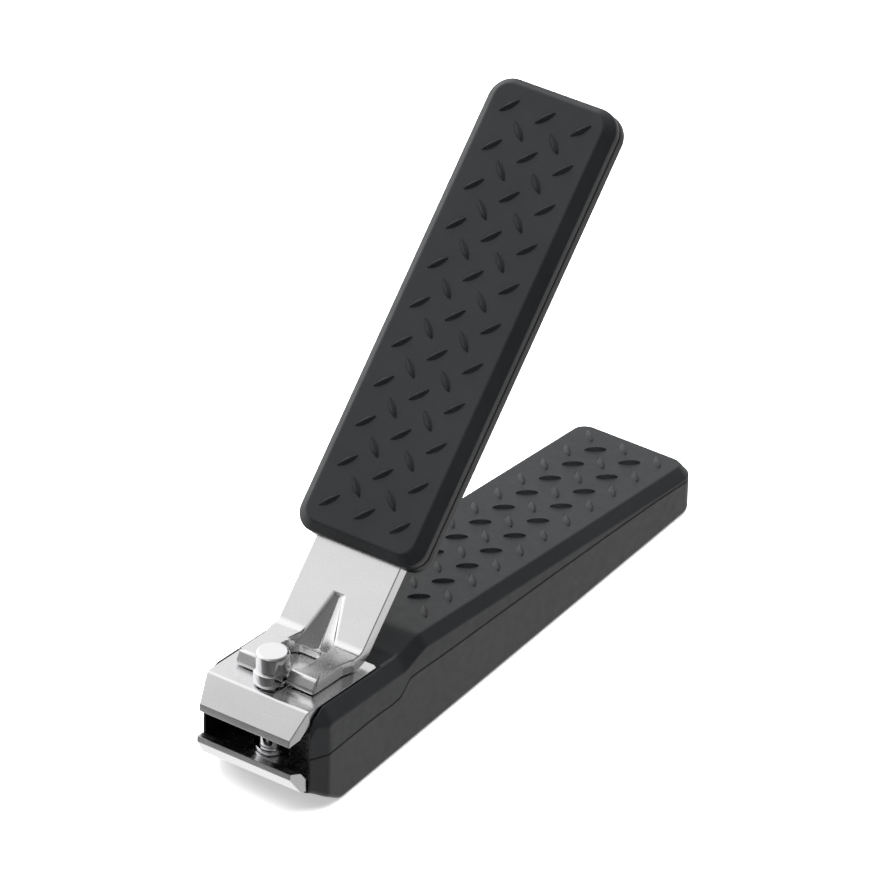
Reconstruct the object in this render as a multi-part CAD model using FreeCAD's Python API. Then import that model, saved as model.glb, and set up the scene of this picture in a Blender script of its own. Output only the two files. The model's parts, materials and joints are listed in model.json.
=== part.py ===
import FreeCAD, Part
import math
import os

# Nail clipper with a swing-up lever, textured soft grips and an enclosed body.
# Millimetres. X across the clipper, +Y towards the tail, -Y towards the cutting
# edges, +Z up. The origin is the centre of the flat underside it lies on.

os.makedirs("parts", exist_ok=True)
V = FreeCAD.Vector

# ------------------------------------------------------------------ dimensions
# body
BODY_HALF_W = 8.75          # half width of the body at its sides
TOP_HALF_W = 7.60           # half width of the top face inside the chamfers
CHAMFER_DROP = 1.37         # height of the long edge chamfers
RIM_CHAMFER_DROP = 1.95     # the same beside the jaws
BOTTOM_EASE = 0.70          # eased long edges of the underside
REAR_Y = 38.9               # rear face
NOSE_Y = -41.75              # front end of the side cheeks
NOSE_HALF_W = 7.60          # half width of the cheeks at the nose
TOP_Z0, TOP_SLOPE = 11.0075, -0.1194    # textured top: z = TOP_Z0 + TOP_SLOPE*y
RIM_Z0, RIM_SLOPE = 10.13, -0.10        # rims beside the jaw head
JAW_Z0 = 10.25                          # upper face of the jaw head
WALL = 1.2                  # floor and roof thickness of the body shells
CHEEK_IN = 7.35             # inner face of the cheeks beside the jaws
CHAMBER_IN = 6.9            # inner face of the side walls behind the jaws
REAR_IN = 37.5              # inner face of the rear wall
LIP_Y = -27.4               # front edge of the roof, behind the jaw head
# jaws
JAW_T = 1.5                 # spring steel thickness
HEAD_HALF_W = 7.2           # half width of the jaw heads
ARM_HALF_W = 6.2            # half width of the arms inside the body
EDGE_HALF_UP = 6.37         # half width of the upper cutting edge
EDGE_HALF_LO = 6.60         # half width of the lower cutting edge
LOW_Z0, LOW_SLOPE = 4.162, -0.0204      # upper face of the lower arm
ARM_Z0 = 8.75                           # upper face of the upper arm behind its step
TAIL_Y = 35.0               # rear end of both arms
BEND_Y = 31.09              # line where the upper arm lifts off the lower arm
# pin
PIN_Y = -38.56
STEM_R = 1.65
POST_R = 2.40
HEAD_R = 2.00
FLAT_X = 1.50
PIN_TOP = 18.48
SHOULDER_Z = 14.50
GROOVE_Z = 16.20
# lever
LEVER_DEG = 45.10           # lever above the base in the opened position
LEV_Y0, LEV_Z0 = -20.391, 27.518        # centre of the near row of studs, pad face
PITCH = 5.0                 # stud pitch across
PITCH_L = 5.105             # stud pitch along
PLATE_TOP, PLATE_T = -2.40, 1.80        # steel plate below the pad face
PLATE_HALF_W = 6.0
FOOT_HALF_W = 5.55
FOOT_GAP = 0.12             # running gap between foot and jaw head
FOOT_END = -38.35
SLOT_HALF_W = 2.6
LUG_X = 1.76
GRIP_HALF_W = 8.88
GRIP_S0, GRIP_S1 = -4.05, 54.60         # grip ends along the lever
PAD_HALF_W = 7.60
PAD_S0, PAD_S1 = -2.95, 53.76           # pad face ends along the lever
GRIP_BOTTOM = -4.95
GRIP_EASE = 1.20            # eased lower edges of the grip base
PAD_SIDE = -1.10            # lower end of the pad chamfer
GRIP_R = 3.0                # corner radius seen from above
STUD_L, STUD_W, STUD_H = 2.75, 0.85, 0.26
# fastenings
SCREW_Y = (18.0, -8.0)
RIVET_S = (12.0, 36.0)

th = math.radians(LEVER_DEG)
U = V(0, math.cos(th), math.sin(th))
N = V(0, -math.sin(th), math.cos(th))
LO = V(0, LEV_Y0, LEV_Z0)


def top_z(y):
    return TOP_Z0 + TOP_SLOPE * y


def rim_z(y):
    return RIM_Z0 + RIM_SLOPE * y


def jaw_z(y):
    return JAW_Z0 + RIM_SLOPE * y


def low_z(y):
    return LOW_Z0 + LOW_SLOPE * y


def arm_z(y):
    return ARM_Z0 + TOP_SLOPE * y


def face(points, place):
    """Planar face from corner points (u, v[, radius]) with true arcs."""
    pts = [(p[0], p[1], p[2] if len(p) > 2 else 0.0) for p in points]
    n = len(pts)
    corner = []
    for i in range(n):
        a, b, c = pts[i - 1], pts[i], pts[(i + 1) % n]
        r = b[2]
        ax, ay = a[0] - b[0], a[1] - b[1]
        cx, cy = c[0] - b[0], c[1] - b[1]
        la, lc = math.hypot(ax, ay), math.hypot(cx, cy)
        ax, ay, cx, cy = ax / la, ay / la, cx / lc, cy / lc
        dot = max(-1.0, min(1.0, ax * cx + ay * cy))
        half = math.acos(dot) / 2.0
        if r <= 0 or half > math.pi / 2 - 0.004:
            corner.append(((b[0], b[1]), None, (b[0], b[1])))
            continue
        t = min(r / math.tan(half), 0.49 * la, 0.49 * lc)
        r = t * math.tan(half)
        bx, by = ax + cx, ay + cy
        lb = math.hypot(bx, by)
        bx, by = bx / lb, by / lb
        dist = r / math.sin(half)
        mid = (b[0] + bx * (dist - r), b[1] + by * (dist - r))
        corner.append(((b[0] + ax * t, b[1] + ay * t), mid, (b[0] + cx * t, b[1] + cy * t)))
    edges = []
    for i in range(n):
        s, m, e = corner[i]
        if m is not None:
            edges.append(Part.Arc(place(*s), place(*m), place(*e)).toShape())
        nxt = corner[(i + 1) % n][0]
        if place(*e).distanceToPoint(place(*nxt)) > 1e-6:
            edges.append(Part.LineSegment(place(*e), place(*nxt)).toShape())
    return Part.Face(Part.Wire(edges))


def side(points, x0, x1):
    """Solid from a (y, z) outline between x0 and x1."""
    return face(points, lambda y, z: V(x0, y, z)).extrude(V(x1 - x0, 0, 0))


def plan(points, z0, z1):
    """Solid from an (x, y) outline between z0 and z1."""
    return face(points, lambda x, y: V(x, y, z0)).extrude(V(0, 0, z1 - z0))


def mirrored(points):
    """Outline given for x >= 0 from rear to front, closed by its mirror image."""
    left = [(-p[0],) + tuple(p[1:]) for p in reversed(points)]
    return list(points) + left


def on_lever(x, s, m):
    return LO + V(x, 0, 0) + U * s + N * m


def lever_plan(points, m0, m1):
    """Solid from an (x, s) outline between two depths of the lever."""
    f = face(points, lambda x, s: on_lever(x, s, m0))
    return f.extrude(N * (m1 - m0))


def cyl(r, x, y, z0, z1):
    return Part.makeCylinder(r, z1 - z0, V(x, y, z0))


def cone(r0, r1, x, y, z0, z1):
    return Part.makeCone(r0, r1, z1 - z0, V(x, y, z0))


def cross(p, d, q, e):
    """Intersection of two (y, z) lines given by point and direction."""
    det = d[0] * -e[1] + e[0] * d[1]
    k = ((q[0] - p[0]) * -e[1] + e[0] * (q[1] - p[1])) / det
    return (p[0] + d[0] * k, p[1] + d[1] * k)


def poly_solid(faces):
    shell = []
    for f in faces:
        shell.append(Part.Face(Part.makePolygon([V(*p) for p in f] + [V(*f[0])])))
    s = Part.Solid(Part.Shell(shell))
    if s.Volume < 0:
        s.reverse()
    return s


def save(name, shape):
    solids = shape.Solids
    if len(solids) == 1:
        shape = solids[0]
    shape.exportStep(os.path.join("parts", name + ".step"))
    print(name, len(solids), "solid(s)", round(shape.Volume, 2), "mm3", shape.isValid())


# ------------------------------------------------------------------ body shells
outline = [
    (REAR_Y, 0.0, 1.1),
    (REAR_Y, top_z(REAR_Y) - 1.6, 0.5),
    (REAR_Y - 0.95, top_z(REAR_Y - 0.95), 0.4),
    (-20.0, top_z(-20.0), 2.5),
    (-24.2, rim_z(-24.2), 2.5),
    (-39.1, rim_z(-39.1), 0.8),
    (-41.05, 12.9, 0.8),
    (NOSE_Y, 10.9, 1.0),
    (NOSE_Y, 3.4, 1.5),
    (-37.0, 0.0, 2.5),
]
# corner points (y, z, radius) of the top seen from the side, each with its chamfer height
roof_line = [
    (46.0, -9.0, 0.0, 0.0),
    (46.0, top_z(46.0), 0.0, CHAMFER_DROP),
    (-20.0, top_z(-20.0), 2.5, CHAMFER_DROP),
    (-24.2, rim_z(-24.2), 2.5, RIM_CHAMFER_DROP - 0.35),
    (-39.1, rim_z(-39.1), 0.8, RIM_CHAMFER_DROP),
    (-41.05, 12.9, 0.8, RIM_CHAMFER_DROP),
    (-42.75, 8.04, 0.0, RIM_CHAMFER_DROP),
    (-42.75, -9.0, 0.0, 0.0),
]
CHAMFER_W = BODY_HALF_W - TOP_HALF_W
roof_faces = [p[:3] for p in roof_line]
roof = side(roof_faces, -TOP_HALF_W, TOP_HALF_W)
reach = 1.6                 # how far the sloping sides run out past the flat top
skirt = [(p[0], p[1] - p[3] * reach / CHAMFER_W, p[2]) for p in roof_line]
for sx in (1, -1):
    near = face(roof_faces, lambda y, z: V(sx * TOP_HALF_W, y, z)).OuterWire
    far = face(skirt, lambda y, z: V(sx * (TOP_HALF_W + reach), y, z)).OuterWire
    roof = roof.fuse(Part.makeLoft([near, far], True, True))
envelope = side(outline, -9.5, 9.5)
envelope = envelope.common(plan(mirrored([
    (BODY_HALF_W, REAR_Y, 1.9),
    (BODY_HALF_W, -39.5, 0.5),
    (NOSE_HALF_W, NOSE_Y),
]), -1.0, 20.0))
envelope = envelope.common(roof)
for sx in (1, -1):
    strip = face([(sx * (BODY_HALF_W - BOTTOM_EASE), 0.0), (sx * (BODY_HALF_W + 1.0), BOTTOM_EASE + 1.0),
                  (sx * (BODY_HALF_W + 1.0), -1.0), (sx * (BODY_HALF_W - BOTTOM_EASE), -1.0)],
                 lambda x, z: V(x, -50.0, z)).extrude(V(0, 100.0, 0))
    envelope = envelope.cut(strip)

chamber = side([
    (REAR_IN, WALL), (REAR_IN, top_z(REAR_IN) - WALL), (-19.0, top_z(-19.0) - WALL - 0.2),
    (-24.3, 11.6), (LIP_Y, 10.35), (LIP_Y - 1.0, 10.35), (LIP_Y - 1.0, WALL),
], -CHAMBER_IN, CHAMBER_IN)
mouth = side([
    (LIP_Y, WALL), (LIP_Y, 20.0), (-46.0, 20.0), (-46.0, 3.3), (-40.45, 3.3), (-37.0, WALL),
], -CHEEK_IN, CHEEK_IN)
# sunk ramp in front of the textured top that the pressed lever dips into
ramp = side([
    (LIP_Y - 0.2, 10.96), (-24.5, 12.36), (-24.15, 12.62), (-24.15, 17.0), (LIP_Y - 0.2, 17.0),
], -7.1, 7.1)
hollow = envelope.cut(chamber).cut(mouth).cut(ramp)

# the joint between the two shells, with a step below the front of the top
joint_line = [
    (39.5, 4.45), (30.4, 5.55), (21.2, 6.32), (6.6, 7.40), (-7.9, 8.35), (-15.0, 8.78), (-21.0, 9.30, 2.0),
    (-23.2, 9.42, 1.2), (-25.1, 7.80, 1.2), (-27.0, 7.72, 1.5), (-31.0, 8.00), (-43.5, 8.00),
]
above = side(joint_line + [(-43.5, 22.0), (39.5, 22.0)], -9.5, 9.5)
upper_shell = hollow.common(above)
lower_casing = hollow.cut(above)

for y in SCREW_Y:
    post = cyl(2.05, 0, y, 2.9, top_z(y) - 0.9)
    upper_shell = upper_shell.fuse(post)
    upper_shell = upper_shell.cut(cyl(0.98, 0, y, 2.0, top_z(y) - 1.6))
    lower_casing = lower_casing.fuse(cyl(2.6, 0, y, 0.6, 2.0))
    lower_casing = lower_casing.cut(cyl(1.05, 0, y, -1.0, 3.0))
    lower_casing = lower_casing.cut(cyl(1.95, 0, y, -1.0, 0.45))
    lower_casing = lower_casing.cut(cone(1.95, 1.05, 0, y, 0.449, 1.35))

# studs on the textured top, in the plane of the top
tilt = math.atan(TOP_SLOPE)
TU = V(0, math.cos(tilt), math.sin(tilt))
TN = V(0, -math.sin(tilt), math.cos(tilt))
TO = V(0, 35.6, top_z(35.6))


def stud(origin, du, dn, x, s, direction):
    """One raised lozenge: sharp crest, pointed ends, foot sunk below the face."""
    d = (V(1, 0, 0) + du * direction).normalize()
    w = (V(1, 0, 0) - du * direction).normalize()
    c = origin + V(x, 0, 0) + du * s
    lo = dn * -0.15
    a, b = c + d * (STUD_L / 2), c - d * (STUD_L / 2)
    p, q = c + w * (STUD_W / 2), c - w * (STUD_W / 2)
    e, f = c + d * (STUD_L * 0.22) + dn * STUD_H, c - d * (STUD_L * 0.22) + dn * STUD_H
    al, bl, pl, ql = a + lo, b + lo, p + lo, q + lo
    tri = [
        (al, bl, pl), (al, ql, bl),
        (al, pl, p), (al, p, a), (pl, bl, b), (pl, b, p), (bl, ql, q), (bl, q, b), (ql, al, a), (ql, a, q),
        (a, p, e), (p, f, e), (p, b, f), (a, e, q), (q, e, f), (q, f, b),
    ]
    s2 = Part.Solid(Part.Shell([Part.Face(Part.makePolygon([t[0], t[1], t[2], t[0]])) for t in tri]))
    if s2.Volume < 0:
        s2.reverse()
    return s2


top_studs = []
for r in range(11):
    for c in (-1, 0, 1):
        top_studs.append(stud(TO, TU, TN, c * PITCH, -r * PITCH_L, -1))
for r in range(10):
    for c in (-0.5, 0.5):
        top_studs.append(stud(TO, TU, TN, c * PITCH, -(r + 0.5) * PITCH_L, 1))
upper_shell = upper_shell.fuse(top_studs)

# ------------------------------------------------------------------ jaws
head_plan_up = mirrored([
    (ARM_HALF_W, TAIL_Y, 1.5), (ARM_HALF_W, -27.3, 0.4), (HEAD_HALF_W, -28.0, 0.4),
    (HEAD_HALF_W, -41.4, 0.6), (EDGE_HALF_UP, -44.3),
])
upper_jaw = side([
    (-41.6, jaw_z(-41.6), 0.5), (-44.2, 11.5), (-44.24, 10.55), (-42.7, 10.95), (-40.99, 12.84, 1.0),
    (-29.05, jaw_z(-29.05) - 1.5, 0.5), (-29.05, 8.7, 1.9), (-12.1, 8.69, 20.0),
    (BEND_Y, low_z(BEND_Y)), (TAIL_Y, low_z(TAIL_Y)), (TAIL_Y, low_z(TAIL_Y) + JAW_T),
    (BEND_Y, low_z(BEND_Y) + JAW_T, 6.0), (-12.1, 10.19, 20.0), (-27.55, 10.2, 0.3), (-27.55, jaw_z(-27.55), 0.25),
], -8.0, 8.0).common(plan(head_plan_up, 0.0, 20.0))
slot = plan([
    (1.75, -38.10, 1.74), (1.75, -38.10 + 1.75, 1.74), (-1.75, -38.10 + 1.75, 1.74), (-1.75, -38.62 - 1.75, 1.74),
    (1.75, -38.62 - 1.75, 1.74),
], 9.0, 20.0)
upper_jaw = upper_jaw.cut(slot)

head_plan_lo = mirrored([
    (ARM_HALF_W, TAIL_Y, 1.5), (ARM_HALF_W, -27.3, 0.4), (HEAD_HALF_W, -28.0, 0.4),
    (HEAD_HALF_W, -42.0, 0.6), (EDGE_HALF_LO, -44.5),
])
lower_jaw = side([
    (-44.36, 7.03), (-44.40, 6.20), (-42.70, 3.60, 0.6), (-41.0, low_z(-41.0) - JAW_T, 1.5),
    (TAIL_Y, low_z(TAIL_Y) - JAW_T), (TAIL_Y, low_z(TAIL_Y)), (-41.8, low_z(-41.8), 0.8), (-42.75, 6.43),
], -8.0, 8.0).common(plan(head_plan_lo, 0.0, 20.0))
lower_jaw = lower_jaw.cut(cyl(STEM_R + 0.05, 0, PIN_Y, 2.0, 7.0))
lower_jaw = lower_jaw.cut(cone(2.45, STEM_R + 0.05, 0, PIN_Y, 3.35, 4.25))

for y in SCREW_Y:
    upper_jaw = upper_jaw.cut(cyl(2.55, 0, y, 0.0, 20.0))
    lower_jaw = lower_jaw.cut(cyl(2.30, 0, y, 0.0, 20.0))
for sx in (1, -1):
    upper_jaw = upper_jaw.cut(cyl(1.35, sx * 3.2, BEND_Y, 0.0, 20.0))
    lower_jaw = lower_jaw.cut(cyl(1.22, sx * 3.2, BEND_Y, 0.0, 20.0))

# ------------------------------------------------------------------ jaw cradle
# wedge-shaped seat on the casing floor that carries the lower arm
cradle = side([
    (-24.0, WALL), (36.6, WALL), (36.6, low_z(36.6) - 0.3), (TAIL_Y + 0.15, low_z(TAIL_Y)),
    (TAIL_Y + 0.15, low_z(TAIL_Y + 0.15) - JAW_T - 0.02), (-24.0, low_z(-24.0) - JAW_T - 0.02),
], -6.75, 6.75)
for sx in (1, -1):
    rail = side([(-24.0, WALL), (36.6, WALL), (36.6, 3.6), (-24.0, 4.6)], sx * 6.3, sx * 6.75)
    cradle = cradle.fuse(rail)
for y0, y1 in ((-21.5, -12.5), (-4.0, 3.0), (5.0, 13.0), (22.5, 27.0)):
    for x0, x1 in ((-5.6, -0.6), (0.6, 5.6)):
        cradle = cradle.cut(plan([(x0, y0, 0.8), (x1, y0, 0.8), (x1, y1, 0.8), (x0, y1, 0.8)], 0.5, 3.4))
for y in SCREW_Y:
    cradle = cradle.cut(cyl(2.75, 0, y, 0.0, 6.0))
for sx in (1, -1):
    cradle = cradle.cut(cyl(2.15, sx * 3.2, BEND_Y, 0.0, 6.0))

# ------------------------------------------------------------------ fastenings of the body
zb = low_z(BEND_Y)
tail_rivets = []
for sx in (1, -1):
    x = sx * 3.2
    r = cyl(1.2, x, BEND_Y, zb - JAW_T - 0.10, zb + JAW_T + 0.40)
    r = r.fuse(cyl(1.9, x, BEND_Y, zb - JAW_T - 0.58, zb - JAW_T - 0.06))
    r = r.fuse(cyl(1.8, x, BEND_Y, zb + JAW_T + 0.27, zb + JAW_T + 0.67))
    tail_rivets.append(r)
tail_rivets = Part.makeCompound(tail_rivets)

screws = []
for y in SCREW_Y:
    s = cone(1.85, 0.95, 0, y, 0.46, 1.34)
    s = s.fuse(cyl(1.85, 0, y, 0.12, 0.461))
    s = s.fuse(cyl(0.95, 0, y, 1.3, top_z(y) - 1.9))
    s = s.cut(plan([(-1.2, y - 0.18), (1.2, y - 0.18), (1.2, y + 0.18), (-1.2, y + 0.18)], 0.0, 0.55))
    s = s.cut(plan([(-0.18, y - 1.2), (0.18, y - 1.2), (0.18, y + 1.2), (-0.18, y + 1.2)], 0.0, 0.55))
    screws.append(s)
screws = Part.makeCompound(screws)

# ------------------------------------------------------------------ pin
pin = cone(2.35, STEM_R, 0, PIN_Y, 3.36, 4.22)
pin = pin.fuse(cyl(STEM_R, 0, PIN_Y, 4.2, SHOULDER_Z + 0.1))
post = cyl(POST_R, 0, PIN_Y, SHOULDER_Z, GROOVE_Z)
post = post.cut(Part.makeBox(2, 6, 3, V(FLAT_X, PIN_Y - 3, SHOULDER_Z - 0.5)))
post = post.cut(Part.makeBox(2, 6, 3, V(-FLAT_X - 2, PIN_Y - 3, SHOULDER_Z - 0.5)))
pin = pin.fuse(post)
pin = pin.fuse(cyl(HEAD_R, 0, PIN_Y, GROOVE_Z, PIN_TOP - 0.25))
pin = pin.fuse(cone(HEAD_R, HEAD_R - 0.25, 0, PIN_Y, PIN_TOP - 0.25, PIN_TOP))
pin = pin.removeSplitter()

collar = cyl(2.15, 0, PIN_Y, 5.03, 5.75).cut(cyl(STEM_R + 0.05, 0, PIN_Y, 4.0, 7.0))

# ------------------------------------------------------------------ lever plate
pt = on_lever(0, 0, PLATE_TOP)
pb = on_lever(0, 0, PLATE_TOP - PLATE_T)
du = (U.y, U.z)
foot_d = (1.0, RIM_SLOPE)
fb = (0.0, JAW_Z0 + FOOT_GAP)
ft = (0.0, JAW_Z0 + FOOT_GAP + PLATE_T * math.hypot(1.0, RIM_SLOPE))
heel = cross((pb.y, pb.z), du, fb, foot_d)
inner = cross((pt.y, pt.z), du, ft, foot_d)
e_top = on_lever(0, 46.0, PLATE_TOP)
e_bot = on_lever(0, 46.0, PLATE_TOP - PLATE_T)
plate = side([
    (e_top.y, e_top.z), (inner[0], inner[1], 1.5),
    (FOOT_END + 0.75, ft[1] + RIM_SLOPE * (FOOT_END + 0.75), 0.5),
    (FOOT_END, fb[1] + RIM_SLOPE * FOOT_END + 0.5), (FOOT_END, fb[1] + RIM_SLOPE * FOOT_END, 0.25),
    (heel[0], heel[1], 3.3), (e_bot.y, e_bot.z),
], -PLATE_HALF_W, PLATE_HALF_W)
# narrower foot, the slot round the pin and the inward lugs under the pin head
for sx in (1, -1):
    strip = plan([
        (sx * FOOT_HALF_W, -45.0), (sx * 9.0, -45.0), (sx * 9.0, -30.5), (sx * PLATE_HALF_W, -30.5, 1.0),
        (sx * FOOT_HALF_W, -32.5, 1.5),
    ], 10.0, 19.5)
    plate = plate.cut(strip)
fork_slot = plan([
    (SLOT_HALF_W, -31.2, 1.8), (-SLOT_HALF_W, -31.2, 1.8), (-SLOT_HALF_W, -36.6, 0.3), (-LUG_X, -36.9, 0.3),
    (-LUG_X, -45.0), (LUG_X, -45.0), (LUG_X, -36.9, 0.3), (SLOT_HALF_W, -36.6, 0.3),
], 10.0, 18.5)
# tapering dart pressed into the inside of the bend: a shallow vee that deepens into the pin opening
bend_s = (V(0, inner[0], inner[1]) - on_lever(0, 0, 0)).dot(U)


def dart_end(s, w, d):
    return [on_lever(-w, s, PLATE_TOP + 2.2), on_lever(-w, s, PLATE_TOP), on_lever(0, s, PLATE_TOP - d),
            on_lever(w, s, PLATE_TOP), on_lever(w, s, PLATE_TOP + 2.2)]


p0, p1, p2, p3, p4 = dart_end(-9.6, 0.75, 0.42)
q0, q1, q2, q3, q4 = dart_end(bend_s - 1.6, 2.6, 1.25)
dart = poly_solid([
    (p0, p1, p2), (p0, p2, p4), (p2, p3, p4), (q2, q1, q0), (q4, q2, q0), (q4, q3, q2),
    (p0, q0, q1, p1), (p1, q1, p2), (q1, q2, p2), (p2, q2, q3), (p2, q3, p3), (p3, q3, q4, p4),
    (p4, q4, q0, p0),
])
plate = plate.cut(fork_slot).cut(dart)
lever_rivets = []
for s in RIVET_S:
    base = on_lever(0, s, PLATE_TOP - PLATE_T)
    plate = plate.cut(Part.makeCylinder(1.55, 8.0, base - N * 2.0, N))
    r = Part.makeCylinder(1.5, 2.3, on_lever(0, s, -4.65), N)
    r = r.fuse(Part.makeCylinder(2.5, 0.85, on_lever(0, s, -2.38), N))
    lever_rivets.append(r)
lever_rivets = Part.makeCompound(lever_rivets)
plate = plate.removeSplitter()

# ------------------------------------------------------------------ lever grip
grip_outline = [
    (GRIP_HALF_W, GRIP_S0, 2.6), (GRIP_HALF_W, GRIP_S1, GRIP_R), (-GRIP_HALF_W, GRIP_S1, GRIP_R),
    (-GRIP_HALF_W, GRIP_S0, 2.6),
]
grip_base = lever_plan(grip_outline, GRIP_BOTTOM, PLATE_TOP)
# eased lower edge
def chamfer_cut(x0, m0, x1, m1):
    f = face([(x0, m0), (x1, m1), (x1 + 3.0, m1), (x0 + 3.0, m0 - 3.0), (x0, m0 - 3.0)],
             lambda x, m: on_lever(x, -10.0, m))
    return f.extrude(U * 75.0)
ease = chamfer_cut(GRIP_HALF_W - GRIP_EASE, GRIP_BOTTOM, GRIP_HALF_W, GRIP_BOTTOM + GRIP_EASE)
grip_base = grip_base.cut(ease).cut(ease.mirror(V(0, 0, 0), V(1, 0, 0)))
ease = face([(GRIP_S1 - GRIP_EASE, GRIP_BOTTOM), (GRIP_S1, GRIP_BOTTOM + GRIP_EASE), (GRIP_S1 + 3.0, GRIP_BOTTOM + GRIP_EASE),
             (GRIP_S1 + 3.0, GRIP_BOTTOM - 3.0), (GRIP_S1 - GRIP_EASE, GRIP_BOTTOM - 3.0)],
            lambda s, m: on_lever(-12.0, s, m)).extrude(V(24.0, 0, 0))
grip_base = grip_base.cut(ease)
grip_base = grip_base.cut(lever_plan([
    (PLATE_HALF_W + 0.04, GRIP_S0 - 2.0), (PLATE_HALF_W + 0.04, 46.1), (-PLATE_HALF_W - 0.04, 46.1),
    (-PLATE_HALF_W - 0.04, GRIP_S0 - 2.0),
], PLATE_TOP - PLATE_T, PLATE_TOP + 1.0))
for s in RIVET_S:
    grip_base = grip_base.cut(Part.makeCylinder(1.52, 3.0, on_lever(0, s, -4.68), N))

grip_pad = lever_plan(grip_outline, PLATE_TOP, 0.0)


def side_bevel(xa, xb):
    f = face([(xa, 0.0), (xb, PAD_SIDE), (xb + 4.0, PAD_SIDE), (xb + 4.0, 2.0),
              (xa + (xb - xa) * 2.0 / PAD_SIDE, 2.0)],
             lambda x, m: on_lever(x, -10.0, m))
    return f.extrude(U * 75.0)


def end_bevel(sa, sb, sign):
    f = face([(sa, 0.0), (sb, PAD_SIDE), (sb + sign * 4.0, PAD_SIDE), (sb + sign * 4.0, 2.0),
              (sa + (sb - sa) * 2.0 / PAD_SIDE, 2.0)], lambda s, m: on_lever(-12.0, s, m))
    return f.extrude(V(24.0, 0, 0))


bev = side_bevel(PAD_HALF_W, GRIP_HALF_W)
grip_pad = grip_pad.cut(bev).cut(bev.mirror(V(0, 0, 0), V(1, 0, 0)))
grip_pad = grip_pad.cut(end_bevel(PAD_S1, GRIP_S1, 1)).cut(end_bevel(PAD_S0, GRIP_S0, -1))
for s in RIVET_S:
    grip_pad = grip_pad.cut(Part.makeCylinder(2.6, 1.0, on_lever(0, s, PLATE_TOP), N))
lever_studs = []
for r in range(11):
    for c in (-1, 0, 1):
        lever_studs.append(stud(LO, U, N, c * PITCH, r * PITCH_L, 1))
for r in range(10):
    for c in (-0.5, 0.5):
        lever_studs.append(stud(LO, U, N, c * PITCH, (r + 0.5) * PITCH_L, -1))
grip_pad = grip_pad.fuse(lever_studs)

# ------------------------------------------------------------------ files
save("body_lower_casing", lower_casing)
save("body_upper_shell", upper_shell)
save("jaw_cradle", cradle)
save("lower_jaw", lower_jaw)
save("upper_jaw", upper_jaw)
save("tail_rivets", tail_rivets)
save("casing_screws", screws)
save("pivot_pin", pin)
save("pin_collar", collar)
save("lever_plate", plate)
save("lever_grip_base", grip_base)
save("lever_grip_pad", grip_pad)
save("lever_rivets", lever_rivets)
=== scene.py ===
import json
import math

import bmesh
import bpy
from mathutils import Matrix, Vector

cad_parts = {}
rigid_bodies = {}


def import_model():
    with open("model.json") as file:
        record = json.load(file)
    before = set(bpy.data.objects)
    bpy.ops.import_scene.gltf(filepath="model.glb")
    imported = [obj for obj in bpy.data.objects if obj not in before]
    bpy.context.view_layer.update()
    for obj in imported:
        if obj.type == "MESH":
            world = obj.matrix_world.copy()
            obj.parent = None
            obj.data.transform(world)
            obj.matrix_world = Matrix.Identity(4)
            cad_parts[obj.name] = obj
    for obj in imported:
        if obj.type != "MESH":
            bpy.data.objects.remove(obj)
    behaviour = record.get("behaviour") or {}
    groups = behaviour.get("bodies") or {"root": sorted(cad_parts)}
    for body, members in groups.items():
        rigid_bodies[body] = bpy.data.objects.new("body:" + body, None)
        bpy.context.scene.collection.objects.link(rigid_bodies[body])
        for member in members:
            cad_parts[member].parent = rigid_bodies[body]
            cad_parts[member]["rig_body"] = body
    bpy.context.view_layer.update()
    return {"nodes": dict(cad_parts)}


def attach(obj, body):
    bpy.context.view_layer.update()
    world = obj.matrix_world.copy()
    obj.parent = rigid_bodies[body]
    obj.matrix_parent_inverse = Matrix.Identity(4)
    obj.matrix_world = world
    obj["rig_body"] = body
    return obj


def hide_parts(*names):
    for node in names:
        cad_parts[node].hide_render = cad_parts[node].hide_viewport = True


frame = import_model()
MM = 0.001
scene = bpy.context.scene
scene.view_settings.view_transform = "Standard"

# ------------------------------------------------------------------ camera
az, el, roll = math.radians(33.8962), math.radians(33.2477), math.radians(1.1585)
back = Vector((math.sin(az) * math.cos(el), -math.cos(az) * math.cos(el), math.sin(el)))
right0 = Vector((math.cos(az), math.sin(az), 0.0))
up0 = back.cross(right0)
right = right0 * math.cos(roll) + up0 * math.sin(roll)
up = up0 * math.cos(roll) - right0 * math.sin(roll)
cam_data = bpy.data.cameras.new("camera")
cam = bpy.data.objects.new("camera", cam_data)
scene.collection.objects.link(cam)
cam.matrix_world = Matrix((
    (right.x, up.x, back.x, 0.370944),
    (right.y, up.y, back.y, -0.556051),
    (right.z, up.z, back.z, 0.464427),
    (0, 0, 0, 1)))
cam_data.sensor_width = 36.0
cam_data.lens = 273.18
cam_data.clip_start, cam_data.clip_end = 0.01, 10.0
scene.camera = cam

# ------------------------------------------------------------------ the part's own frames, in mm
TH = math.radians(45.10)
LU = Vector((0, math.cos(TH), math.sin(TH)))
LN = Vector((0, -math.sin(TH), math.cos(TH)))
LO = Vector((0, -20.391, 27.518))
TT = math.atan(-0.1194)
TU = Vector((0, math.cos(TT), math.sin(TT)))
TN = Vector((0, -math.sin(TT), math.cos(TT)))
TO = Vector((0, 35.6, 11.0075 - 0.1194 * 35.6))
PITCH, PITCH_L = 5.0, 5.105


def lever_m(p):
    """Height of a point above the lever's pad face, in mm."""
    return (p / MM - LO).dot(LN)


def lever_s(p):
    return (p / MM - LO).dot(LU)


def top_h(p):
    """Height of a point above the body's textured top, in mm."""
    return (p / MM - TO).dot(TN)


# ------------------------------------------------------------------ mesh helpers
def link(me, name):
    ob = bpy.data.objects.new(name, me)
    scene.collection.objects.link(ob)
    return ob


def flats(bm, angle):
    bmesh.ops.dissolve_limit(bm, angle_limit=math.radians(angle), verts=bm.verts, edges=bm.edges,
                             use_dissolve_boundaries=False)


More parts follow.
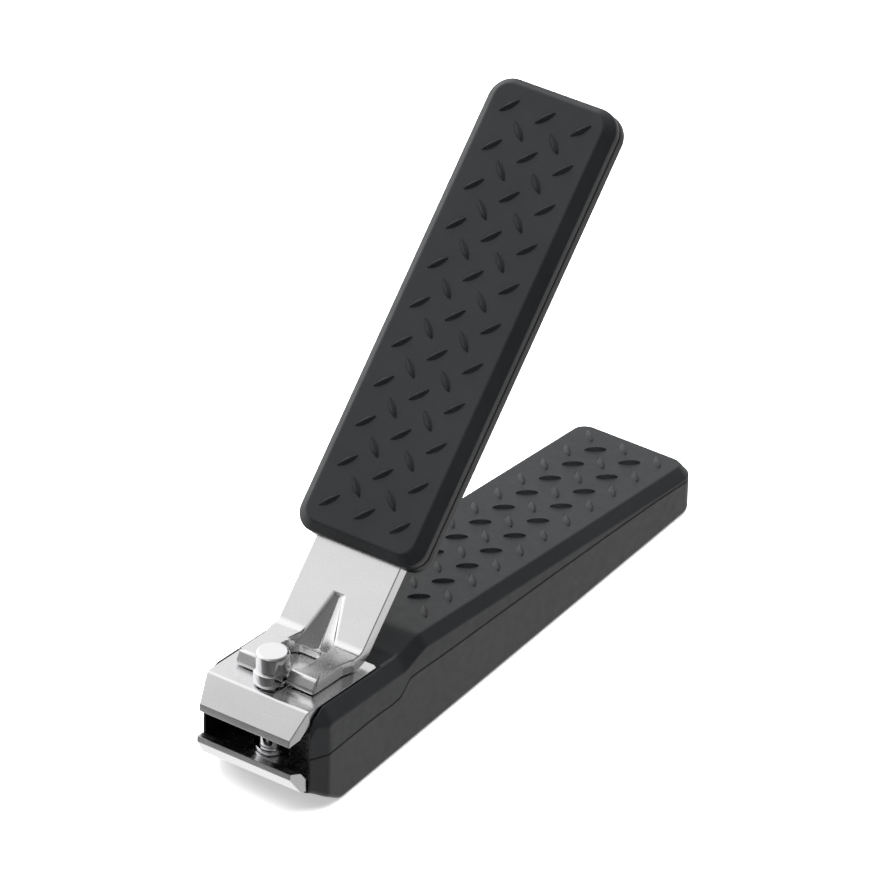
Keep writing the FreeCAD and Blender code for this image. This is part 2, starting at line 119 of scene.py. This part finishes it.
def refined(node, name, width_of, widest, segments=3, angle=24.0, strip=None, smooth=32.0, extra=None, hollows=True):
    """The CAD node as a finished piece: welded, flats merged, and its edges rounded by width_of(point), in mm.
    strip(point) picks the raised studs, which are taken off here and modelled again below."""
    src = frame["nodes"][node]
    me = src.data.copy()
    me.materials.clear()
    bm = bmesh.new()
    bm.from_mesh(me)
    bpy.data.meshes.remove(me)
    bmesh.ops.remove_doubles(bm, verts=bm.verts, dist=3e-6)
    if strip is not None:
        gone = [v for v in bm.verts if strip(v.co)]
        bmesh.ops.delete(bm, geom=gone, context="VERTS")
        rim = [e for e in bm.edges if e.is_boundary]
        bmesh.ops.holes_fill(bm, edges=rim, sides=0)
        bmesh.ops.recalc_face_normals(bm, faces=bm.faces)
    flats(bm, 0.6)
    # leftover points in the middle of straight edges
    bmesh.ops.dissolve_degenerate(bm, dist=1e-6, edges=bm.edges)
    layer = bm.edges.layers.float.new("bevel_weight_edge")
    for e in bm.edges:
        if len(e.link_faces) == 2 and math.degrees(e.calc_face_angle(0.0)) > angle:
            if not hollows and e.calc_face_angle_signed(0.0) < 0:
                continue
            e[layer] = min(1.0, width_of((e.verts[0].co + e.verts[1].co) / 2) / widest)
    me = bpy.data.meshes.new(name)
    bm.to_mesh(me)
    bm.free()
    ob = link(me, name)
    b = ob.modifiers.new("round", "BEVEL")
    b.width = widest * MM
    b.segments = segments
    b.limit_method = "WEIGHT"
    b.use_clamp_overlap = False
    b.miter_outer = "MITER_SHARP"
    dg = bpy.context.evaluated_depsgraph_get()
    done = bpy.data.meshes.new_from_object(ob.evaluated_get(dg))
    ob.modifiers.clear()
    old = ob.data
    ob.data = done
    done.name = name
    bpy.data.meshes.remove(old)
    if extra is not None:
        bm = bmesh.new()
        bm.from_mesh(done)
        extra(bm)
        bm.to_mesh(done)
        bm.free()
    for p in done.polygons:
        p.use_smooth = True
    done.set_sharp_from_angle(angle=math.radians(smooth))
    w = ob.modifiers.new("normals", "WEIGHTED_NORMAL")
    w.keep_sharp = True
    w.weight = 60
    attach(ob, src["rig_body"])
    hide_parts(node)
    return ob


def add_stud(bm, origin, du, dn, x, s, direction, length=2.85, width=1.0, height=0.42):
    """A raised lozenge: pointed ends, a rounded crest and slightly hollow flanks, in mm."""
    d = (Vector((1, 0, 0)) + du * direction).normalized()
    w = (Vector((1, 0, 0)) - du * direction).normalized()
    c = origin + Vector((x, 0, 0)) + du * s
    nt = 15
    across = (-1.0, -0.62, -0.30, -0.10, 0.0, 0.10, 0.30, 0.62, 1.0)
    lift = (-0.12, 0.34, 0.72, 0.965, 1.0, 0.965, 0.72, 0.34, -0.12)
    rows = []
    for i in range(nt):
        t = -math.cos(math.pi * i / (nt - 1))
        k = max(0.0, 1.0 - t * t)
        wd = width / 2 * k ** 0.80
        ht = height * k ** 0.55
        if i in (0, nt - 1):
            rows.append([bm.verts.new((c + d * (t * length / 2) - dn * 0.03) * MM)])
            continue
        rows.append([bm.verts.new((c + d * (t * length / 2) + w * (wd * a) + dn * (ht * l if l > 0 else -0.03)) * MM)
                     for a, l in zip(across, lift)])
    for i in range(nt - 1):
        a, b = rows[i], rows[i + 1]
        if len(a) == 1:
            for j in range(len(b) - 1):
                bm.faces.new((a[0], b[j], b[j + 1]))
        elif len(b) == 1:
            for j in range(len(a) - 1):
                bm.faces.new((a[j], b[0], a[j + 1]))
        else:
            for j in range(len(a) - 1):
                bm.faces.new((a[j], b[j], b[j + 1], a[j + 1]))
    # closed underneath
    foot = [rows[0][0]] + [r[0] for r in rows[1:-1]] + [rows[-1][0]] + [r[-1] for r in reversed(rows[1:-1])]
    bm.faces.new(foot)


def studs(origin, du, dn, sign_s, first):
    def build(bm):
        start = len(bm.faces)
        for r in range(11):
            for c in (-1, 0, 1):
                add_stud(bm, origin, du, dn, c * PITCH, sign_s * r * PITCH_L, first)
        for r in range(10):
            for c in (-0.5, 0.5):
                add_stud(bm, origin, du, dn, c * PITCH, sign_s * (r + 0.5) * PITCH_L, -first)
        bm.faces.ensure_lookup_table()
        bmesh.ops.recalc_face_normals(bm, faces=bm.faces[start:])
    return build


def grid_faces(bm, rows):
    """Quads between neighbouring lists of vertices, skipping repeated points."""
    for a, b in zip(rows, rows[1:]):
        for p in range(len(a) - 1):
            f = []
            for v in (a[p], b[p], b[p + 1], a[p + 1]):
                if v not in f:
                    f.append(v)
            if len(f) > 2:
                try:
                    bm.faces.new(f)
                except ValueError:
                    pass


def face_of(bm, verts):
    f = []
    for v in verts:
        if v not in f:
            f.append(v)
    return bm.faces.new(f)


def finish_piece(bm, name, body, nodes, smooth=30.0):
    bmesh.ops.remove_doubles(bm, verts=bm.verts, dist=1e-6)
    bmesh.ops.recalc_face_normals(bm, faces=bm.faces)
    me = bpy.data.meshes.new(name)
    bm.to_mesh(me)
    bm.free()
    for p in me.polygons:
        p.use_smooth = True
    me.set_sharp_from_angle(angle=math.radians(smooth))
    ob = link(me, name)
    w = ob.modifiers.new("normals", "WEIGHTED_NORMAL")
    w.keep_sharp = True
    w.weight = 60
    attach(ob, body)
    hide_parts(*nodes)
    return ob


def cut_out(ob, cutters):
    """Boolean differences, applied to the piece's mesh."""
    for c in cutters:
        m = ob.modifiers.new("cut", "BOOLEAN")
        m.operation = "DIFFERENCE"
        m.solver = "EXACT"
        m.object = c
    last = [m for m in ob.modifiers if m.type == "WEIGHTED_NORMAL"]
    for m in last:
        ob.modifiers.remove(m)
    dg = bpy.context.evaluated_depsgraph_get()
    done = bpy.data.meshes.new_from_object(ob.evaluated_get(dg))
    ob.modifiers.clear()
    name = ob.data.name
    ob.data = done
    done.name = name
    for c in cutters:
        bpy.data.objects.remove(c)
    for p in done.polygons:
        p.use_smooth = True
    done.set_sharp_from_angle(angle=math.radians(30))
    w = ob.modifiers.new("normals", "WEIGHTED_NORMAL")
    w.keep_sharp = True


def lathe(profile, x, y, seg=40):
    """Closed solid of revolution about a vertical axis from (r, z) points, in mm."""
    bm = bmesh.new()
    rows = []
    for r, z in profile:
        if r == 0:
            v = bm.verts.new((x * MM, y * MM, z * MM))
            rows.append([v] * (seg + 1))
        else:
            ring = [bm.verts.new(((x + r * math.cos(2 * math.pi * q / seg)) * MM,
                                  (y + r * math.sin(2 * math.pi * q / seg)) * MM, z * MM)) for q in range(seg)]
            rows.append(ring + [ring[0]])
    grid_faces(bm, rows)
    bmesh.ops.recalc_face_normals(bm, faces=bm.faces)
    me = bpy.data.meshes.new("cutter")
    bm.to_mesh(me)
    bm.free()
    return link(me, "cutter")


def block(points8):
    bm = bmesh.new()
    v = [bm.verts.new(p * MM) for p in points8]
    for f in ((0, 1, 2, 3), (4, 5, 6, 7), (0, 1, 5, 4), (1, 2, 6, 5), (2, 3, 7, 6), (3, 0, 4, 7)):
        bm.faces.new([v[q] for q in f])
    bmesh.ops.recalc_face_normals(bm, faces=bm.faces)
    me = bpy.data.meshes.new("cutter")
    bm.to_mesh(me)
    bm.free()
    return link(me, "cutter")


def rounded(hw, s0, s1, r0, r1, seg=10):
    """Outline of a rounded rectangle, (x, s) points: near corners r0, far corners r1."""
    pts = []
    for cx, cs, r, a0 in ((hw - r1, s1 - r1, r1, 0), (-hw + r1, s1 - r1, r1, 90),
                          (-hw + r0, s0 + r0, r0, 180), (hw - r0, s0 + r0, r0, 270)):
        for q in range(seg + 1):
            a = math.radians(a0 + 90.0 * q / seg)
            pts.append((cx + r * math.cos(a), cs + r * math.sin(a)))
    return pts


def lever_loft(profile, name, nodes, extra=None):
    """profile rows: (side inset, far inset, near inset, far radius, near radius, height m)."""
    bm = bmesh.new()
    rings = []
    for dx, df, dn, r1, r0, m in profile:
        ring = [bm.verts.new((LO + Vector((x, 0, 0)) + LU * t + LN * m) * MM)
                for x, t in rounded(8.88 - dx, -4.05 + dn, 54.6 - df, r0, r1)]
        rings.append(ring + [ring[0]])
    grid_faces(bm, rings)
    bm.faces.new(rings[0][:-1])
    bm.faces.new(rings[-1][:-1])
    if extra is not None:
        extra(bm)
    return finish_piece(bm, name, "lever", nodes)


def poly(points, t):
    """Piecewise linear value at t through (t, v) points sorted by t."""
    if t <= points[0][0]:
        a, b = points[0], points[1]
    elif t >= points[-1][0]:
        a, b = points[-2], points[-1]
    else:
        a, b = next((p, q) for p, q in zip(points, points[1:]) if p[0] <= t <= q[0])
    return a[1] + (b[1] - a[1]) * (t - a[0]) / (b[0] - a[0])


def eased(points, t, half):
    """The same line with its corners eased over +-half."""
    n = 8
    return sum(poly(points, t + half * (2 * (q + 0.5) / n - 1)) for q in range(n)) / n


ROOF = [(-42.75, 8.0), (-41.75, 10.9), (-41.05, 12.9), (-39.1, 14.04), (-24.2, 12.55), (-20.0, 13.395), (40.0, 6.23)]
DROP = [(-60.0, 1.95), (-39.1, 1.95), (-24.2, 1.60), (-20.0, 1.37), (60.0, 1.37)]
JOINT = [(-43.5, 8.00), (-31.0, 8.00), (-27.0, 7.72), (-25.1, 7.80), (-23.2, 9.42), (-21.0, 9.30), (-15.0, 8.78),
         (-7.9, 8.35), (6.6, 7.40), (21.2, 6.32), (30.4, 5.55), (39.5, 4.45)]
FLOOR = [(-43.0, 3.42), (-40.45, 3.36), (-37.0, 1.20), (60.0, 1.20)]
UNDER = [(-43.0, 3.25), (-41.6, 3.08), (-37.0, 0.0), (60.0, 0.0)]
WIDTH = [(-41.75, 7.62), (-39.5, 8.75), (60.0, 8.75)]
RAMP = [(-60.0, 10.96), (-27.6, 10.96), (-24.5, 12.36), (-24.15, 12.62), (60.0, 13.5)]


def roof_z(y):
    return eased(ROOF, y, 0.55 if y > -30 else 0.30)


def joint_z(y):
    return eased(JOINT, y, 0.45)


def perimeter():
    """Right half of the body's outline from the nose to the rear: (x out, y out, x in, y in) with the chamfer's share."""
    ys = [-41.75, -41.6, -41.4, -41.2, -41.0, -40.8, -40.5, -40.1, -39.8, -39.6, -39.4, -39.2, -39.0, -38.8, -38.4,
          -37.8, -37.3, -36.9, -36.4, -35.8, -34, -32, -30, -28.6, -27.8, -27.4, -27.0, -26.6, -26.2, -25.8, -25.5, -25.2, -24.9,
          -24.6, -24.3, -24.0, -23.7, -23.4, -23.1, -22.8, -22.4, -22.0, -21.6, -21.2, -20.8, -20.4, -20.0, -19.6, -19.2, -18.6,
          -17, -14, -10, -5, 0, 6, 12, 18, 24, 30, 34, 36.3]
    out = []
    for y in ys:
        w = eased(WIDTH, y, 0.25) if y > -41.3 else poly(WIDTH, y)
        share = max(0.02, min(1.0, (w - 7.6) / 1.15))
        out.append((w, y, w - 1.15 * share, y, share))
    ro, ri = 2.6, 1.7
    for q in range(0, 11):
        a = math.radians(9.0 * q)
        out.append((8.75 - ro + ro * math.cos(a), 38.9 - ro + ro * math.sin(a),
                    7.60 - ri + ri * math.cos(a), 37.95 - ri + ri * math.sin(a), 1.0))
    return out


def body_shells():
    half = perimeter()
    up, low = bmesh.new(), bmesh.new()

    def both(fn):
        return [fn(p, 1) for p in half] + [fn(p, -1) for p in reversed(half)]

    def at(bm, p, sx, k, z, inset=0.0):
        """Point a share k of the way in from the outline, plus a straight inset."""
        x = p[0] + (p[2] - p[0]) * k
        y = p[1] + (p[3] - p[1]) * k
        if inset:
            dx, dy = (p[2] - p[0]), (p[3] - p[1])
            n = math.hypot(dx, dy) or 1.0
            if n < 0.05:
                dx, dy, n = -1.0, 0.0, 1.0
            x, y = x + dx / n * inset, y + dy / n * inset
        return bm.verts.new((sx * x * MM, y * MM, z * MM))

    def inner(p):
        """Inner face of the wall at this station."""
        if p[1] <= 36.3:
            return 7.35, p[1]
        return p[0] - 1.4 * (p[0] - 6.15) / 2.6 if p[0] > 6.15 else p[0], min(37.5, p[1] - 1.4 * (p[1] - 36.3) / 2.6)

    def up_rows(p, sx):
        y = p[3]
        zt = roof_z(y)
        d = poly(DROP, y) * p[4]
        zj = joint_z(p[1]) + 0.02
        zc = zt - d
        zj3, zc4 = zj + 0.12, max(zj + 0.2, zc - 0.22)
        ix, iy = inner(p)
        zi = zt - 0.07 if p[1] < -27.45 else max(zt - 1.45 if p[1] > -22 else 10.35 + max(0.0, p[1] + 27.4) * 0.25, zj + 0.4)
        k = p[4]
        return [up.verts.new((sx * ix * MM, iy * MM, zi * MM)), up.verts.new((sx * ix * MM, iy * MM, zj * MM)),
                at(up, p, sx, 0, zj, 0.10), at(up, p, sx, 0, zj3), at(up, p, sx, 0, zc4),
                at(up, p, sx, 0.010, zc - 0.09), at(up, p, sx, 0.035, zc + 0.02), at(up, p, sx, 0.085, zc + 0.085 * d + 0.03),
                at(up, p, sx, 0.16, zc + 0.16 * d), at(up, p, sx, 0.5, zc + 0.5 * d),
                at(up, p, sx, 0.86, zc + 0.86 * d), at(up, p, sx, 0.94, zc + 0.935 * d), at(up, p, sx, 1.0, zc + 0.972 * d),
                at(up, p, sx, 1.0, zc + 0.993 * d, 0.09), at(up, p, sx, 1.0, zt, 0.19)]

    def low_rows(p, sx):
        zj = joint_z(p[1]) - 0.02
        zb = eased(UNDER, p[1], 0.6)
        zf = max(eased(FLOOR, p[1], 0.2), zb + 0.12)
        ix, iy = inner(p)
        e = 0.75
        return [low.verts.new((sx * ix * MM, iy * MM, zf * MM)), low.verts.new((sx * ix * MM, iy * MM, zj * MM)),
                at(low, p, sx, 0, zj, 0.10), at(low, p, sx, 0, zj - 0.12), at(low, p, sx, 0, zb + 1.05 * e),
                at(low, p, sx, 0, zb + 0.72 * e, 0.03), at(low, p, sx, 0, zb + 0.42 * e, 0.17 * e),
                at(low, p, sx, 0, zb + 0.19 * e, 0.38 * e), at(low, p, sx, 0, zb + 0.05 * e, 0.66 * e),
                at(low, p, sx, 0, zb, 1.0 * e)]

    # lower casing
    rows = both(low_rows)
    n = len(half)
    grid_faces(low, rows)
    for i in range(n - 1):
        for j in (0, -1):
            face_of(low, [rows[i][j], rows[i + 1][j], rows[-2 - i][j], rows[-1 - i][j]])
    face_of(low, rows[0])
    face_of(low, rows[-1])
    face_of(low, [rows[0][0], rows[0][-1], rows[-1][-1], rows[-1][0]])
    lower = finish_piece(low, "body_bottom_casing", "body", ["body_lower_casing"])

    # upper shell
    rows = both(up_rows)
    grid_faces(up, rows)
    lip = next(i for i, p in enumerate(half) if abs(p[1] + 27.4) < 1e-6)
    # the rim beside the jaws closes over to the inner wall
    for i in range(lip):
        for a, b in ((i, i + 1), (2 * n - 2 - i, 2 * n - 1 - i)):
            if i + 1 == lip:
                continue
            face_of(up, [rows[a][-1], rows[b][-1], rows[b][0], rows[a][0]])
    face_of(up, rows[0])
    face_of(up, rows[-1])
    # textured top with the sunk ramp at its front, and the roof's underside
    tops = []
    for i in range(lip, n):
        R, L = rows[i][-1], rows[2 * n - 1 - i][-1]
        y, xr = R.co.y / MM, R.co.x / MM
        zt = R.co.z / MM
        f = min(1.0, xr / 7.41)
        zr = poly(RAMP, y) if y < -24.1 else zt
        zr = min(zr, zt)
        cols = [R]
        for x in (7.12, 7.05, -7.05, -7.12):
            cols.append(up.verts.new((x * f * MM, R.co.y, (zr if abs(x) < 7.1 else zt) * MM)))
        tops.append(cols + [L])
    grid_faces(up, tops)
    for i in range(lip, n - 1):
        face_of(up, [rows[i][0], rows[i + 1][0], rows[2 * n - 2 - i][0], rows[2 * n - 1 - i][0]])
    # front lip of the roof, and the two short rims that meet it
    zt = roof_z(-27.4)
    wr = up.verts.new((7.35 * MM, -27.4 * MM, (zt - 0.07) * MM))
    wl = up.verts.new((-7.35 * MM, -27.4 * MM, (zt - 0.07) * MM))
    face_of(up, [rows[lip - 1][-1], rows[lip][-1], wr, rows[lip - 1][0]])
    face_of(up, [rows[2 * n - lip][-1], rows[2 * n - 1 - lip][-1], wl, rows[2 * n - lip][0]])
    face_of(up, [rows[lip - 1][0], wr, rows[lip][0]])
    face_of(up, [rows[2 * n - lip][0], wl, rows[2 * n - 1 - lip][0]])
    face_of(up, [rows[lip][0], wr] + tops[0] + [wl, rows[2 * n - 1 - lip][0]])
    studs(TO, TU, TN, -1, -1)(up)
    upper = finish_piece(up, "body_top_shell", "body", ["body_upper_shell"])
    return upper, lower


# ------------------------------------------------------------------ materials
def material(name):
    m = bpy.data.materials.new(name)
    m.use_nodes = True
    nt = m.node_tree
    return m, nt, nt.nodes["Principled BSDF"]


def node(nt, kind, **inputs):
    n = nt.nodes.new(kind)
    for k, v in inputs.items():
        key = k.replace("_", " ")
        if key in n.inputs:
            n.inputs[key].default_value = v
    return n


def ramp(nt, fac, stops):
    r = nt.nodes.new("ShaderNodeValToRGB")
    e = r.color_ramp.elements
    e[0].position, e[0].color = stops[0][0], (*stops[0][1], 1)
    e[1].position, e[1].color = stops[-1][0], (*stops[-1][1], 1)
    for p, c in stops[1:-1]:
        x = e.new(p)
        x.color = (*c, 1)
    nt.links.new(fac, r.inputs["Fac"])
    return r


def grey(v):
    return (v, v, v)


def soft_grip(name, base, rough, grain=0.05):
    """Soft-touch moulding: fine matt grain, faint handling sheen and slow colour variation."""
    m, nt, p = material(name)
    tc = node(nt, "ShaderNodeTexCoord")
    big = node(nt, "ShaderNodeTexNoise", Scale=90.0, Detail=3.0, Roughness=0.6)
    fine = node(nt, "ShaderNodeTexNoise", Scale=5200.0, Detail=2.0, Roughness=0.5)
    mid = node(nt, "ShaderNodeTexNoise", Scale=700.0, Detail=4.0, Roughness=0.65)
    for n in (big, fine, mid):
        nt.links.new(tc.outputs["Object"], n.inputs["Vector"])
    lo = tuple(c * 0.86 for c in base)
    hi = tuple(c * 1.16 for c in base)
    col = ramp(nt, big.outputs["Fac"], [(0.30, lo), (0.70, hi)])
    nt.links.new(col.outputs["Color"], p.inputs["Base Color"])
    rr = ramp(nt, mid.outputs["Fac"], [(0.25, grey(rough - 0.07)), (0.75, grey(rough + 0.06))])
    nt.links.new(rr.outputs["Color"], p.inputs["Roughness"])
    p.inputs["Specular IOR Level"].default_value = 0.42
    b1 = node(nt, "ShaderNodeBump", Strength=grain, Distance=0.00002)
    nt.links.new(fine.outputs["Fac"], b1.inputs["Height"])
    b2 = node(nt, "ShaderNodeBump", Strength=0.06, Distance=0.00006)
    nt.links.new(mid.outputs["Fac"], b2.inputs["Height"])
    nt.links.new(b1.outputs["Normal"], b2.inputs["Normal"])
    nt.links.new(b2.outputs["Normal"], p.inputs["Normal"])
    return m


def steel(name, base, rough, axis=0, brush=0.35, spread=0.10, aniso=0.0):
    """Brushed or tumbled steel: fine lines along one axis and faint smudges."""
    m, nt, p = material(name)
    tc = node(nt, "ShaderNodeTexCoord")
    mp = nt.nodes.new("ShaderNodeMapping")
    sc = [1.0, 1.0, 1.0]
    sc[axis] = 0.03
    mp.inputs["Scale"].default_value = sc
    nt.links.new(tc.outputs["Object"], mp.inputs["Vector"])
    lines = node(nt, "ShaderNodeTexNoise", Scale=9000.0, Detail=4.0, Roughness=0.7)
    nt.links.new(mp.outputs["Vector"], lines.inputs["Vector"])
    smudge = node(nt, "ShaderNodeTexNoise", Scale=260.0, Detail=5.0, Roughness=0.6)
    nt.links.new(tc.outputs["Object"], smudge.inputs["Vector"])
    p.inputs["Metallic"].default_value = 1.0
    col = ramp(nt, smudge.outputs["Fac"], [(0.25, tuple(c * 0.93 for c in base)), (0.75, base)])
    nt.links.new(col.outputs["Color"], p.inputs["Base Color"])
    mix = nt.nodes.new("ShaderNodeMix")
    mix.data_type = "FLOAT"
    mix.inputs["Factor"].default_value = 0.5
    nt.links.new(lines.outputs["Fac"], mix.inputs[2])
    nt.links.new(smudge.outputs["Fac"], mix.inputs[3])
    rr = ramp(nt, mix.outputs[0], [(0.30, grey(max(0.04, rough - spread))), (0.70, grey(rough + spread))])
    nt.links.new(rr.outputs["Color"], p.inputs["Roughness"])
    if aniso:
        p.inputs["Anisotropic"].default_value = aniso
    b = node(nt, "ShaderNodeBump", Strength=brush, Distance=0.000008)
    nt.links.new(lines.outputs["Fac"], b.inputs["Height"])
    nt.links.new(b.outputs["Normal"], p.inputs["Normal"])
    return m


GRIP = soft_grip("soft_touch_pad", (0.0070, 0.0078, 0.0090), 0.42)
SHELL = soft_grip("hard_shell_moulding", (0.0078, 0.0080, 0.0086), 0.38, 0.03)
INNER = soft_grip("inner_nylon", (0.016, 0.016, 0.017), 0.60, 0.04)
JAW = steel("jaw_steel_brushed", (0.80, 0.80, 0.81), 0.25, axis=0, brush=0.5)
PLATE = steel("lever_steel_tumbled", (0.84, 0.84, 0.84), 0.26, axis=1, brush=0.3)
PIN = steel("pin_steel_turned", (0.80, 0.80, 0.81), 0.09, axis=2, brush=0.15, spread=0.05)
FIX = steel("fastener_steel", (0.72, 0.72, 0.73), 0.30, axis=2, brush=0.1)


def wear(ob, mat):
    ob.data.materials.clear()
    ob.data.materials.append(mat)
    return ob


# ------------------------------------------------------------------ lever
pad = lever_loft([
    (0.34, 0.34, 0.34, 2.7, 2.3, -2.40), (0.30, 0.30, 0.30, 2.7, 2.3, -2.30), (0.12, 0.12, 0.12, 2.9, 2.5, -2.23),
    (0.02, 0.02, 0.02, 3.0, 2.6, -2.16), (0.0, 0.0, 0.0, 3.0, 2.6, -2.05), (0.0, 0.0, 0.0, 3.0, 2.6, -1.25),
    (0.02, 0.015, 0.02, 3.0, 2.6, -1.15), (0.07, 0.05, 0.06, 2.95, 2.55, -1.06), (0.15, 0.11, 0.13, 2.9, 2.5, -0.97),
    (0.64, 0.42, 0.55, 2.5, 2.2, -0.55), (1.12, 0.73, 0.94, 2.15, 1.9, -0.145), (1.22, 0.80, 1.03, 2.08, 1.84, -0.075),
    (1.31, 0.88, 1.12, 2.0, 1.78, -0.028), (1.41, 0.98, 1.22, 1.9, 1.7, -0.006), (1.52, 1.09, 1.33, 1.8, 1.6, 0.0),
], "lever_pad", ["lever_grip_pad"], studs(LO, LU, LN, 1, 1))
base = lever_loft([
    (1.22, 1.22, 0.60, 2.2, 2.1, -4.95), (1.08, 1.08, 0.50, 2.3, 2.2, -4.92), (0.95, 0.95, 0.42, 2.4, 2.25, -4.84),
    (0.35, 0.35, 0.16, 2.8, 2.5, -4.20), (0.13, 0.13, 0.06, 2.9, 2.55, -3.93), (0.03, 0.03, 0.02, 3.0, 2.6, -3.74),
    (0.0, 0.0, 0.0, 3.0, 2.6, -3.5), (0.0, 0.0, 0.0, 3.0, 2.6, -2.62), (0.03, 0.03, 0.03, 3.0, 2.6, -2.50),
    (0.12, 0.12, 0.12, 2.9, 2.5, -2.43), (0.34, 0.34, 0.34, 2.7, 2.3, -2.405),
], "lever_base", ["lever_grip_base"])
P = lambda x, t, m: LO + Vector((x, 0, 0)) + LU * t + LN * m
cut_out(base, [block([P(-6.04, -8, -4.22), P(6.04, -8, -4.22), P(6.04, 46.1, -4.22), P(-6.04, 46.1, -4.22),
                      P(-6.04, -8, -2.0), P(6.04, -8, -2.0), P(6.04, 46.1, -2.0), P(-6.04, 46.1, -2.0)])])
wear(pad, GRIP)
wear(base, SHELL)


def plate_edge(p):
    """Softer edges round the pressed dart and on the fork's tips."""
    x, y, z = p / MM
    if abs(x) < 2.75 and y > -31.5 and 13.6 < z < 19.6:
        return 0.28
    if abs(x) < 2.75 and y < -31.5:
        return 0.05
    return 0.26 if y < -38.0 else 0.16


plate = refined("lever_plate", "lever_steel_plate", plate_edge, 0.28, segments=4)
wear(plate, PLATE)
wear(refined("lever_rivets", "lever_rivet_pair", lambda p: 0.08, 0.08, segments=2), FIX)

# ------------------------------------------------------------------ body
upper, lower = body_shells()
cut_out(lower, [lathe([(0, -1.0), (1.95, -1.0), (1.95, 0.45), (1.05, 1.35), (1.05, 2.6), (0, 2.6)], 0, y) for y in (18.0, -8.0)])
wear(upper, GRIP)
wear(lower, SHELL)
wear(refined("jaw_cradle", "jaw_seat", lambda p: 0.06, 0.06, segments=2), INNER)
wear(refined("upper_jaw", "jaw_upper", lambda p: 0.10, 0.10, segments=2), JAW)
wear(refined("lower_jaw", "jaw_lower", lambda p: 0.07, 0.07, segments=2), JAW)
wear(refined("pivot_pin", "pin_post", lambda p: 0.12, 0.12, segments=3, hollows=False), PIN)
wear(refined("pin_collar", "pin_ring", lambda p: 0.06, 0.06, segments=2), PIN)
wear(refined("tail_rivets", "tail_rivet_pair", lambda p: 0.06, 0.06, segments=2), FIX)
wear(refined("casing_screws", "casing_screw_pair", lambda p: 0.05, 0.05, segments=2), FIX)

# ------------------------------------------------------------------ floor and light
bpy.ops.mesh.primitive_plane_add(size=6.0, location=(0, 0, -0.00004))
floor = bpy.context.object
floor.name = "floor"
fm, nt, p = material("pale_floor")
p.inputs["Base Color"].default_value = (0.93, 0.93, 0.93, 1)
p.inputs["Roughness"].default_value = 0.85
p.inputs["Specular IOR Level"].default_value = 0.2
p.inputs["Emission Color"].default_value = (1, 1, 1, 1)
p.inputs["Emission Strength"].default_value = 0.45
floor.data.materials.append(fm)
floor.visible_glossy = False
world = bpy.data.worlds.new("studio")
scene.world = world
world.use_nodes = True
wt = world.node_tree
bg = wt.nodes["Background"]
# a white studio: bright on the left, dim on the right and where the camera stands
tc = wt.nodes.new("ShaderNodeTexCoord")


def towards(direction):
    d = wt.nodes.new("ShaderNodeVectorMath")
    d.operation = "DOT_PRODUCT"
    wt.links.new(tc.outputs["Generated"], d.inputs[0])
    d.inputs[1].default_value = Vector(direction).normalized()
    return d.outputs["Value"]


def band(value, stops):
    m = wt.nodes.new("ShaderNodeMapRange")
    m.inputs["From Min"].default_value = -1.0
    m.inputs["From Max"].default_value = 1.0
    wt.links.new(value, m.inputs["Value"])
    return ramp(wt, m.outputs["Result"], stops)


left = band(towards((-0.90, 0.10, 0.43)), [(0.0, grey(0.10)), (0.70, grey(0.10)), (0.80, grey(0.62)), (0.87, grey(1.15)), (1.0, grey(1.5))])
low = band(towards((-0.90, 0.0, -0.45)), [(0.0, grey(0.10)), (0.22, grey(0.30)), (0.40, grey(0.80)), (0.62, grey(0.70)), (0.88, grey(1.05))])
mul = wt.nodes.new("ShaderNodeMix")
mul.data_type = "RGBA"
mul.blend_type = "LIGHTEN"
mul.inputs["Factor"].default_value = 1.0
wt.links.new(left.outputs["Color"], mul.inputs[6])
wt.links.new(low.outputs["Color"], mul.inputs[7])
front = band(towards((0.10, -1.0, -0.25)), [(0.0, grey(1.0)), (0.74, grey(1.0)), (0.86, grey(0.22)), (1.0, grey(0.12))])
dim = wt.nodes.new("ShaderNodeMix")
dim.data_type = "RGBA"
dim.blend_type = "MULTIPLY"
dim.inputs["Factor"].default_value = 1.0
wt.links.new(mul.outputs[2], dim.inputs[6])
wt.links.new(front.outputs["Color"], dim.inputs[7])
wt.links.new(dim.outputs[2], bg.inputs[0])
bg.inputs[1].default_value = 1.0


def softbox(name, loc, target, size, energy, size_y=None):
    d = bpy.data.lights.new(name, "AREA")
    d.shape = "RECTANGLE"
    d.size = size
    d.size_y = size_y or size
    d.energy = energy
    o = bpy.data.objects.new(name, d)
    scene.collection.objects.link(o)
    o.location = loc
    o.rotation_mode = "QUATERNION"
    o.rotation_quaternion = (Vector(target) - Vector(loc)).to_track_quat("-Z", "Y")
    o.visible_glossy = False
    return o


softbox("overhead", (-0.10, 0.15, 1.30), (0, 0, 0), 1.8, 62.0)
softbox("left_low", (-0.75, 0.12, 0.20), (0, 0, 0.03), 0.50, 5.0, 0.35)
